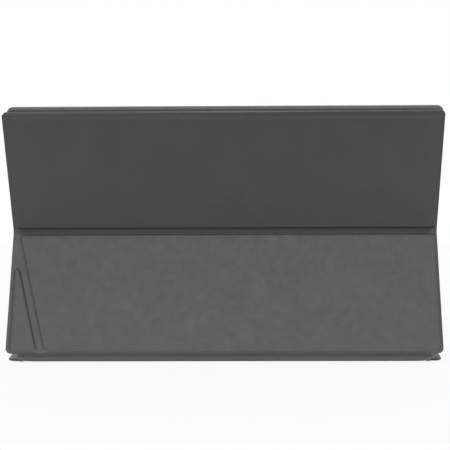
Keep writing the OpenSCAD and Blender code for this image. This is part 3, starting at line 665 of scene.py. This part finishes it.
# folds across the whole cover
back_x = panel_grid([0], *straight(HALF_W), *back_hems, PANEL_COLUMNS)[0][0]
spine_x = panel_grid([0], *straight(SPINE_HALF_W), *spine_hems, PANEL_COLUMNS)[0][0]
crease_skin_painted_shade, crease_lining = fold_strip(
    "crease", (crease_low, crease_high), back_x, HALF_W, CREASE_HANDLE)
foot_skin_painted_shade, foot_lining = fold_strip(
    "foot_fold", (foot_low, foot_high), spine_x, SPINE_HALF_W)
rear_skin, rear_lining = fold_strip(
    "rear_fold", (rear_low, rear_high), spine_x, SPINE_HALF_W)

for piece, replaced in (
        (back_skin, "back_panel_skin"), (back_lining, "back_panel_lining"),
        (leg_skin, "leg_skin"), (leg_lining, "leg_lining"),
        (flap_skin, "corner_skin"), (flap_lining, "corner_lining"),
        (strips["corner_fold_leather"], "corner_fold"),
        (front_skin, "front_cover_skin"), (front_lining, "front_cover_lining"),
        (spine_skin, "spine_skin"), (spine_lining, "spine_lining"),
        (crease_skin_painted_shade, "crease_fold"), (foot_skin_painted_shade, "foot_fold"), (rear_skin, "rear_fold")):
    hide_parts(replaced)

# ---- Rigid pieces and rubber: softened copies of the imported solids, turned keys and screws

HOUSING_ROUND = 0.75 * MM
SEAM_ROUND = 0.14 * MM
BEZEL_ROUND = 0.5 * MM
MAT_ROUND = 0.3 * MM
RIDGE_ROUND = 0.45 * MM
ROUND_ANGLES = (math.radians(25), math.radians(100))
ROUND_STEPS = 3
FLAT_ANGLE = math.radians(0.5)
SMOOTH_ANGLE = 35  # degrees
SAME = 0.001 * MM  # points nearer than this are one
LEVEL_SLACK = 0.02 * MM
SIDE_SLACK = 0.05 * MM
BEVEL_REACH = 1.3 * MM  # the bevel round the display's back lies within this of its sides and back
CORNER_STEPS = 24


def softened(name, node, body, place, rounds):
    """A copy of a CAD node with rounded edges. rounds are pairs: a test of an edge's ends, and a width."""
    bm = bmesh.new()
    bm.from_mesh(nodes[node].data)
    bmesh.ops.remove_doubles(bm, verts=bm.verts, dist=SAME)
    bmesh.ops.dissolve_limit(bm, angle_limit=FLAT_ANGLE, verts=bm.verts, edges=bm.edges)
    inverse = place.inverted()
    for wanted, width in rounds:
        picked = [e for e in bm.edges if ROUND_ANGLES[0] < e.calc_face_angle_signed(0) < ROUND_ANGLES[1]
                  and all(wanted(inverse @ v.co) for v in e.verts)]
        bmesh.ops.bevel(bm, geom=picked, offset=width, offset_type="OFFSET", segments=ROUND_STEPS,
                        profile=0.5, affect="EDGES", clamp_overlap=True)
    mesh = bpy.data.meshes.new(name)
    bm.to_mesh(mesh)
    bm.free()
    piece = add_object(name, finish_mesh(mesh, SMOOTH_ANGLE), body)
    piece.modifiers.new("flat_faces_stay_flat", "WEIGHTED_NORMAL").keep_sharp = True
    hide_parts(node)
    return piece


def near_side(node, place, reach):
    """A test of whether a point is within reach of a node's outline, a rectangle with rounded corners."""
    points = points_of(node, place)
    low, high = points.min(0), points.max(0)
    r = high[0] - points[points[:, 1] > high[1] - SAME, 0].max()
    line = outline(box_corners(low, high, r), CORNER_STEPS)
    return lambda p: inside(np.array([p.x]), np.array([p.y]), line)[0] < reach


def near_level(level):
    """A test of whether a point is at a level."""
    return lambda p: abs(p.z - level) < LEVEL_SLACK


def both(first, second):
    """A test of whether a point passes both tests."""
    return lambda p: first(p) and second(p)


housing_low, housing_high = extent("rear_housing", DISPLAY)
bezel_high = extent("front_bezel", DISPLAY)[1]
rim = near_side("rear_housing", DISPLAY, BEVEL_REACH)
edge = near_side("rear_housing", DISPLAY, SIDE_SLACK)
on_bevel = both(rim, lambda p: p.z < housing_low[2] + BEVEL_REACH)
on_seam = both(edge, near_level(housing_high[2]))
on_front = both(edge, near_level(bezel_high[2]))
housing = softened("housing_shell", "rear_housing", "display", DISPLAY, [
    (on_bevel, HOUSING_ROUND), (on_seam, SEAM_ROUND)])
bezel = softened("bezel_frame", "front_bezel", "display", DISPLAY, [
    (on_front, BEZEL_ROUND), (on_seam, SEAM_ROUND)])
mat = softened("foot_mat_rubber", "foot_mat", "front_cover", COVER, [
    (near_level(extent("foot_mat", COVER)[1][2]), MAT_ROUND)])
ridges = softened("stop_ridge_rubber", "stop_ridges", "front_cover", COVER, [
    (near_level(extent("stop_ridges", COVER)[1][2]), RIDGE_ROUND)])


KEY_ROUND = 0.35 * MM
KEY_DISH = 0.15 * MM
KEY_RIM = 0.35 * MM
KEY_CLEARANCE = 0.02 * MM  # left under a key's stem when it is pressed
EDGE_STEPS = 5
DISH_STEPS = 6
TURN_STEPS = 40
STEP_SLACK = 0.01 * MM
FLANGE_SLACK = 0.1 * MM


def rounded_edge(centre_r, centre_z, r):
    """Profile points of a rounded outer edge, from its side up to its face."""
    turns = np.linspace(0, math.pi / 2, EDGE_STEPS)
    return [(centre_r + r * math.cos(t), centre_z + r * math.sin(t)) for t in turns]


def turned(bm, centre, profile, steps=TURN_STEPS):
    """Adds a turned solid to bm: a profile of (radius, height) from the axis and back to it."""
    rings = []
    for r, z in profile:
        count = 1 if r == 0 else steps
        rings.append([bm.verts.new((centre[0] + r * math.cos(t), centre[1] + r * math.sin(t), z))
                      for t in np.arange(count) * 2 * math.pi / steps])
    for a, b in zip(rings, rings[1:]):
        for i in range(steps):
            j = (i + 1) % steps
            corners = [a[i % len(a)], a[j % len(a)], b[j % len(b)], b[i % len(b)]]
            bm.faces.new(list(dict.fromkeys(corners)))
    return rings


def from_bmesh(name, bm, body, place, sharp=SMOOTH_ANGLE):
    """The piece for a bmesh that was made in a panel's frame."""
    bm.transform(place)
    mesh = bpy.data.meshes.new(name)
    bm.to_mesh(mesh)
    bm.free()
    return add_object(name, finish_mesh(mesh, sharp), body)


def rings_of(node, place):
    """Centre across a turned node, and the radius and height of each of its points."""
    points = points_of(node, place)
    centre = (points.min(0) + points.max(0)) / 2
    return centre, np.hypot(points[:, 0] - centre[0], points[:, 1] - centre[1]), points[:, 2]


def key(name, node, body):
    """A turned key: stem, flange and a cap with a rounded edge and a dished face."""
    centre, radius, height = rings_of(node, DISPLAY)
    low, high = height.min(), height.max()
    widest = radius > radius.max() - FLANGE_SLACK
    flange_low, flange_high = height[widest].min(), height[widest].max()
    flange_r = radius.max()
    stem_r = radius[height < low + STEP_SLACK].max()
    cap_r = radius[height > high - STEP_SLACK].max()
    dish_r = cap_r - KEY_ROUND - KEY_RIM
    dish_turns = np.linspace(0, math.pi / 2, DISH_STEPS)[:-1]
    foot = low + KEY_CLEARANCE
    profile = [(0, foot), (stem_r, foot), (stem_r, flange_low), (flange_r, flange_low),
               (flange_r, flange_high), (cap_r, flange_high)]
    profile += rounded_edge(cap_r - KEY_ROUND, high - KEY_ROUND, KEY_ROUND)
    profile += [(dish_r * math.cos(t), high - KEY_DISH * math.sin(t)) for t in dish_turns]
    profile += [(0, high - KEY_DISH)]
    bm = bmesh.new()
    turned(bm, centre, profile)
    piece = from_bmesh(name, bm, body, DISPLAY)
    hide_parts(node)
    return piece


keys = [key(which + "_key_cap", which + "_button", which + "_key")
        for which in ("power", "menu", "up", "down")]

SCREW_HEAD_T = 0.8 * MM
SCREW_EDGE = 0.15 * MM
RECESS_ARM = 0.85 * MM
RECESS_HALF = 0.17 * MM
RECESS_DEPTH = 0.5 * MM
RECESS_TAPER = 0.7
SCREW_REACH = 8 * MM  # points nearer than this across belong to one screw
SCREW_SMOOTH_ANGLE = 30


def screws_of(node, place):
    """The points of each screw of a node."""
    groups = []
    for p in points_of(node, place):
        for group in groups:
            if np.hypot(*(p[:2] - group[0][:2])) < SCREW_REACH:
                group.append(p)
                break
        else:
            groups.append([p])
    return [np.array(group) for group in groups]


def screw(bm, points):
    """A sunk screw with its head at the low end, with a cross recess in it."""
    low, high = points.min(0), points.max(0)
    centre = (low + high) / 2
    head_r = (high[0] - low[0]) / 2
    across = np.hypot(points[:, 0] - centre[0], points[:, 1] - centre[1])
    shank_r = across[points[:, 2] > high[2] - STEP_SLACK].max()
    face = low[2]
    profile = [(head_r - SCREW_EDGE, face), (head_r, face + SCREW_EDGE), (head_r, face + SCREW_HEAD_T),
               (shank_r, face + SCREW_HEAD_T), (shank_r, high[2]), (0, high[2])]
    rings = turned(bm, centre, profile)
    a, h = RECESS_ARM, RECESS_HALF
    cross = [(a, -h), (a, h), (h, h), (h, a), (-h, a), (-h, h),
             (-a, h), (-a, -h), (-h, -h), (-h, -a), (h, -a), (h, -h)]
    upper, lower = [[bm.verts.new((centre[0] + x * share, centre[1] + y * share, z)) for x, y in cross]
                    for share, z in ((1, face), (RECESS_TAPER, face + RECESS_DEPTH))]
    loop = [bm.edges.new((upper[i - 1], upper[i])) for i in range(len(cross))]
    outer = [bm.edges.get((rings[0][i - 1], rings[0][i])) for i in range(len(rings[0]))]
    bmesh.ops.triangle_fill(bm, edges=outer + loop, use_beauty=True)
    for i in range(len(cross)):
        bm.faces.new((upper[i - 1], upper[i], lower[i], lower[i - 1]))
    bm.faces.new(lower)


screws_bm = bmesh.new()
for points in screws_of("housing_screws", DISPLAY):
    screw(screws_bm, points)
screws = from_bmesh("case_screws", screws_bm, "display", DISPLAY, SCREW_SMOOTH_ANGLE)
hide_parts("housing_screws")

# ---- Materials

NOISE_LOW, NOISE_HIGH = 0.3, 0.7  # nearly all of a noise's values lie between these


def feed(tree, socket, value):
    """Links a socket to another, or sets it."""
    if isinstance(value, bpy.types.NodeSocket):
        tree.links.new(value, socket)
    else:
        socket.default_value = value


def add_node(tree, kind, **inputs):
    """Adds a node. Its inputs are given by name, with _ for a space."""
    made = tree.nodes.new(kind)
    for name, value in inputs.items():
        feed(tree, made.inputs[name.replace("_", " ")], value)
    return made


def maths(tree, operation, *operands):
    """The result of a Math node."""
    made = tree.nodes.new("ShaderNodeMath")
    made.operation = operation
    for socket, value in zip(made.inputs, operands):
        feed(tree, socket, value)
    return made.outputs["Value"]


class Shader:
    """A small builder for procedural materials."""

    def __init__(self, name, colour, roughness, metallic=0.0, specular=0.5):
        self.material = bpy.data.materials.new(name)
        self.material.use_nodes = True
        self.tree = self.material.node_tree
        self.surface = self.tree.nodes["Principled BSDF"]
        for socket, value in (("Base Color", (*colour, 1)), ("Roughness", roughness), ("Metallic", metallic),
                              ("Specular IOR Level", specular)):
            self.surface.inputs[socket].default_value = value
        self.colour, self.roughness = colour, roughness
        self.place = self.node("ShaderNodeTexCoord").outputs["Object"]
        self.height = None

    def node(self, kind, **inputs):
        return add_node(self.tree, kind, **inputs)

    def noise(self, scale, detail=2.0, stretch=None):
        """Noise of about scale bumps to a metre, finer along stretched axes."""
        place = self.place
        if stretch:
            place = self.node("ShaderNodeMapping", Vector=place, Scale=stretch).outputs["Vector"]
        return self.node("ShaderNodeTexNoise", Vector=place, Scale=scale, Detail=detail).outputs["Fac"]

    def cells(self, scale, smoothness=0.6):
        """Rounded cells like the pebbles of leather grain."""
        made = self.node("ShaderNodeTexVoronoi", Vector=self.place, Scale=scale)
        made.feature = "SMOOTH_F1"
        made.inputs["Smoothness"].default_value = smoothness
        return made.outputs["Distance"]

    def vary_colour(self, factor, amount):
        """Darkens and lightens the colour by a share, with a noise."""
        ramp = self.node("ShaderNodeValToRGB", Fac=factor)
        ends = ((NOISE_LOW, 1 - amount), (NOISE_HIGH, 1 + amount))
        for element, (at, share) in zip(ramp.color_ramp.elements, ends):
            element.position = at
            element.color = (*(c * share for c in self.colour), 1)
        feed(self.tree, self.surface.inputs["Base Color"], ramp.outputs["Color"])

    def vary_roughness(self, factor, amount):
        """Takes the roughness down and up by an amount, with a noise."""
        varied = self.node("ShaderNodeMapRange", Value=factor, From_Min=NOISE_LOW, From_Max=NOISE_HIGH,
                           To_Min=self.roughness - amount, To_Max=self.roughness + amount)
        feed(self.tree, self.surface.inputs["Roughness"], varied.outputs["Result"])

    def bump(self, height, distance):
        """Adds a relief over those already there."""
        under = {} if self.height is None else {"Normal": self.height}
        made = self.node("ShaderNodeBump", Height=height, Distance=distance, Strength=1.0, **under)
        self.height = made.outputs["Normal"]
        feed(self.tree, self.surface.inputs["Normal"], self.height)


def leather_shader(name, colour):
    """Synthetic leather: mottling, slow unevenness, pebbled grain and fine tooth."""
    s = Shader(name, colour, 0.55, specular=0.35)
    s.vary_colour(s.noise(38, 3), 0.05)
    s.vary_roughness(s.noise(160), 0.05)
    s.bump(s.noise(90, 3), 0.12 * MM)
    s.bump(s.cells(1900), 0.05 * MM)
    s.bump(s.noise(5200), 0.012 * MM)
    return s


def leather(name, colour):
    return leather_shader(name, colour).material


def leather_with_painted_crease_shade(name, colour, end_colour, start, end):
    """Leather with painted shade in a crease, darker than the panels, that keeps the panels' colour at the
    free ends across it.
    """
    s = leather_shader(name, colour)
    split = s.node("ShaderNodeSeparateXYZ", Vector=s.place)
    share = s.node("ShaderNodeMapRange", Value=maths(s.tree, "ABSOLUTE", split.outputs["X"]),
                   From_Min=start, From_Max=end)
    share.interpolation_type = "SMOOTHSTEP"
    base = s.surface.inputs["Base Color"]
    mix = s.node("ShaderNodeMixRGB", Fac=share.outputs["Result"], Color1=base.links[0].from_socket,
                 Color2=(*end_colour, 1))
    feed(s.tree, base, mix.outputs["Color"])
    return s.material


def fabric(name, colour):
    """Microfibre: mottled nap with a soft sheen."""
    s = Shader(name, colour, 0.9, specular=0.15)
    s.surface.inputs["Sheen Weight"].default_value = 0.35
    s.surface.inputs["Sheen Roughness"].default_value = 0.5
    s.vary_colour(s.noise(70, 4), 0.06)
    s.bump(s.noise(900, 3), 0.06 * MM)
    s.bump(s.noise(6000), 0.03 * MM)
    return s.material


def plastic(name, colour, roughness=0.45, grain=2600, specular=0.5):
    """Moulded plastic with fine spark grain."""
    s = Shader(name, colour, roughness, specular=specular)
    s.vary_colour(s.noise(60), 0.04)
    s.vary_roughness(s.noise(300), 0.04)
    s.bump(s.noise(grain), 0.012 * MM)
    return s.material


def metal(name, colour, roughness=0.35, stretch=None):
    """Sheet or plated metal, with its grain drawn out along stretch."""
    s = Shader(name, colour, roughness, metallic=1.0)
    s.vary_roughness(s.noise(700, stretch=stretch), 0.06)
    s.vary_colour(s.noise(90), 0.04)
    s.bump(s.noise(2500, stretch=stretch), 0.004 * MM)
    return s.material


def rubber(name, colour):
    """Matt rubber or foam with a dusty surface."""
    s = Shader(name, colour, 0.75, specular=0.3)
    s.vary_colour(s.noise(120, 3), 0.08)
    s.bump(s.noise(1500, 3), 0.03 * MM)
    return s.material


def board(name, colour):
    """Pressed board or solder mask, speckled and slightly pitted."""
    s = Shader(name, colour, 0.4)
    s.vary_colour(s.noise(220, 4), 0.12)
    s.bump(s.cells(800), 0.03 * MM)
    return s.material


LEATHER = (0.098, 0.098, 0.099)
CREASE_SHADE_END = (HALF_W - 8 * MM, HALF_W - 3 * MM)  # where the painted crease shade fades to the panels' colour
materials = {
    "skin": leather("cover_skin", LEATHER),
    # fold_skin is painted shade: the crease's leather is darker than the panels, standing in for the shade
    # in the crease
    "fold_skin": leather_with_painted_crease_shade("crease_skin_painted_shade", (0.054, 0.054, 0.055), LEATHER, *CREASE_SHADE_END),
    # painted shade: the foot fold's leather is darker than the panels, standing in for the shade where the
    # bend turns away from the light
    "foot_skin_painted_shade": leather("foot_skin_painted_shade", (0.082, 0.082, 0.083)),
    # painted light: the spine's leather is lighter than the panels, standing in for light that the white
    # table throws up onto it
    "spine_skin": leather("spine_skin", (0.130, 0.130, 0.131)),
    "lining": fabric("microfibre", (0.44, 0.44, 0.44)),
    # painted shade: a darker copy of the microfibre for the back panel's lining, matched to the tone of its
    # top band
    "back_lining": fabric("back_microfibre_painted_shade", (0.2, 0.2, 0.2)),
    "stiffener": board("fibre_board", (0.30, 0.28, 0.25)),
    "mat": rubber("mat_rubber", (0.05, 0.05, 0.053)),
    "housing": plastic("housing_plastic", (0.047, 0.047, 0.049), 0.5, specular=0.2),
    "bezel": plastic("bezel_plastic", (0.022, 0.022, 0.024), 0.38),
    "screen": plastic("screen_film", (0.012, 0.012, 0.015), 0.22, grain=9000, specular=0.3),
    "film": plastic("white_film", (0.85, 0.85, 0.84), 0.6),
    "guide": plastic("acrylic", (0.80, 0.86, 0.88), 0.12),
    "tray": metal("sheet_aluminium", (0.62, 0.63, 0.65), 0.4, (1, 12, 1)),
    "circuit": board("solder_mask", (0.02, 0.12, 0.06)),
    "cable": plastic("ribbon", (0.62, 0.50, 0.22), 0.4),
    "steel": metal("plated_steel", (0.50, 0.50, 0.52), 0.3),
    "foam": rubber("foam", (0.02, 0.02, 0.02)),
    "key": plastic("key_plastic", (0.05, 0.05, 0.055), 0.4),
    "lens": plastic("lens", (0.80, 0.84, 0.88), 0.1),
}


def dress(obj, slot, finish=None):
    """Gives a piece the finish of its slot, or a variant of it."""
    obj.data.materials.clear()
    obj.data.materials.append(materials[finish or slot])


slots = {row["node"]: row["material_slot"] for row in frame["record"]["subparts"]}
for node, slot in slots.items():
    dress(nodes[node], slot)
for piece in (back_skin, leg_skin, flap_skin, front_skin):
    dress(piece, "skin")
dress(strips["corner_fold_leather"], "skin")
# the spine and the rear fold wear the lighter leather with painted light from the table
dress(spine_skin, "skin", "spine_skin")
dress(rear_skin, "fold_skin", "spine_skin")
# the foot fold wears the leather with painted shade
dress(foot_skin_painted_shade, "fold_skin", "foot_skin_painted_shade")
# the crease wears the leather with painted crease shade
dress(crease_skin_painted_shade, "fold_skin")
for piece, replaced in ((housing, "rear_housing"), (bezel, "front_bezel"), (mat, "foot_mat"),
                        (ridges, "stop_ridges"), (screws, "housing_screws")):
    dress(piece, slots[replaced])
for piece in keys:
    dress(piece, slots["power_button"])
# the back panel's lining wears the darker copy of the microfibre, with painted shade
dress(back_lining, "lining", "back_lining")
for piece in (leg_lining, flap_lining, front_lining, spine_lining, crease_lining, foot_lining,
              rear_lining, strips["corner_fold_microfibre"]):
    dress(piece, "lining")

# ---- Floor, light and camera

FLOOR_LOW, FLOOR_HIGH = (-0.5, -0.6), (0.55, 0.36)
FLOOR_WHITE = 0.9  # share of plain white in what the camera sees of the floor
ZENITH, HORIZON, BELOW = 0.45, 0.19, 0.07  # the surround's light
BELOW_FADE = -0.15


def shaded_mix(tree, first, second, share):
    """Mixes in the second shader by a share, for what the camera, gloss and glass see."""
    path = add_node(tree, "ShaderNodeLightPath")
    seen = path.outputs["Is Camera Ray"]
    for name in ("Is Glossy Ray", "Is Transmission Ray"):
        seen = maths(tree, "MAXIMUM", seen, path.outputs[name])
    mix = add_node(tree, "ShaderNodeMixShader", Fac=maths(tree, "MULTIPLY", seen, share))
    tree.links.new(first, mix.inputs[1])
    tree.links.new(second, mix.inputs[2])
    return mix.outputs["Shader"]


def floor():
    """A white table, seen nearly pure white, that keeps the object's shadow."""
    (x0, y0), (x1, y1) = FLOOR_LOW, FLOOR_HIGH
    mesh = bpy.data.meshes.new("floor")
    mesh.from_pydata([(x0, y0, 0), (x1, y0, 0), (x1, y1, 0), (x0, y1, 0)], [], [(0, 1, 2, 3)])
    table = Shader("white_table", (0.9, 0.9, 0.9), 0.8, specular=0.1)
    glow = table.node("ShaderNodeEmission")
    seen = shaded_mix(table.tree, table.surface.outputs["BSDF"], glow.outputs["Emission"], FLOOR_WHITE)
    table.tree.links.new(seen, table.tree.nodes["Material Output"].inputs["Surface"])
    mesh.materials.append(table.material)
    add_object("floor", mesh)


def world():
    """White surround: its light runs from zenith to horizon, and what is seen of it is pure white."""
    made = bpy.data.worlds.new("studio")
    made.use_nodes = True
    tree = made.node_tree
    direction = add_node(tree, "ShaderNodeTexCoord").outputs["Generated"]
    rise = add_node(tree, "ShaderNodeSeparateXYZ", Vector=direction).outputs["Z"]
    sky = add_node(tree, "ShaderNodeMapRange", Value=rise, To_Min=HORIZON, To_Max=ZENITH)
    ground = add_node(tree, "ShaderNodeMapRange", Value=rise, From_Min=BELOW_FADE, From_Max=0.0,
                      To_Min=BELOW, To_Max=HORIZON)
    above = maths(tree, "SUBTRACT", sky.outputs["Result"], HORIZON)
    light = tree.nodes["Background"]
    light.inputs["Color"].default_value = (1, 1, 1, 1)
    feed(tree, light.inputs["Strength"], maths(tree, "ADD", above, ground.outputs["Result"]))
    white = add_node(tree, "ShaderNodeBackground", Color=(1, 1, 1, 1))
    seen = shaded_mix(tree, light.outputs["Background"], white.outputs["Background"], 1.0)
    tree.links.new(seen, tree.nodes["World Output"].inputs["Surface"])
    bpy.context.scene.world = made


def softbox(name, place, target, size, power):
    """A rectangular lamp that faces a target."""
    light = bpy.data.lights.new(name, "AREA")
    light.shape = "RECTANGLE"
    light.size, light.size_y = size
    light.energy = power
    obj = bpy.data.objects.new(name, light)
    obj.location = place
    obj.rotation_euler = (Vector(target) - Vector(place)).to_track_quat("-Z", "Y").to_euler()
    bpy.context.scene.collection.objects.link(obj)


floor()
world()
softbox("top_back", place=(0.1, 1.5, 2.0), target=(0, 0, 0.1), size=(1.4, 1.4), power=24.5)
softbox("low_back", place=(0.0, 2.0, 0.3), target=(0, 0, 0.05), size=(2.0, 0.5), power=2.5)
softbox("front", place=(0.0, -1.6, 1.5), target=(0, 0, 0.1), size=(1.8, 1.4), power=14)

CAMERA_AT = Vector((-23.853, 1264.158, 256.92)) * MM
CAMERA_FOCAL, CAMERA_SENSOR = 112.506, 36
CAMERA_REACH = 50
CAMERA_DOWN, CAMERA_YAW, CAMERA_ROLL = (math.radians(a) for a in (7.016, 1.122, -0.318))
forward = Vector((math.sin(CAMERA_YAW) * math.cos(CAMERA_DOWN),
                  -math.cos(CAMERA_YAW) * math.cos(CAMERA_DOWN), -math.sin(CAMERA_DOWN)))
right = forward.cross(Vector((0, 0, 1))).normalized()
up = right.cross(forward)
rolled_right = math.cos(CAMERA_ROLL) * right + math.sin(CAMERA_ROLL) * up
rolled_up = math.cos(CAMERA_ROLL) * up - math.sin(CAMERA_ROLL) * right
lens = bpy.data.cameras.new("camera")
lens.lens = CAMERA_FOCAL
lens.sensor_width = CAMERA_SENSOR
lens.clip_end = CAMERA_REACH
camera = bpy.data.objects.new("camera", lens)
camera.matrix_world = Matrix.Translation(CAMERA_AT) @ Matrix(
    (rolled_right, rolled_up, -forward)).transposed().to_4x4()
bpy.context.scene.collection.objects.link(camera)
bpy.context.scene.camera = camera
bpy.context.scene.view_settings.view_transform = "Standard"
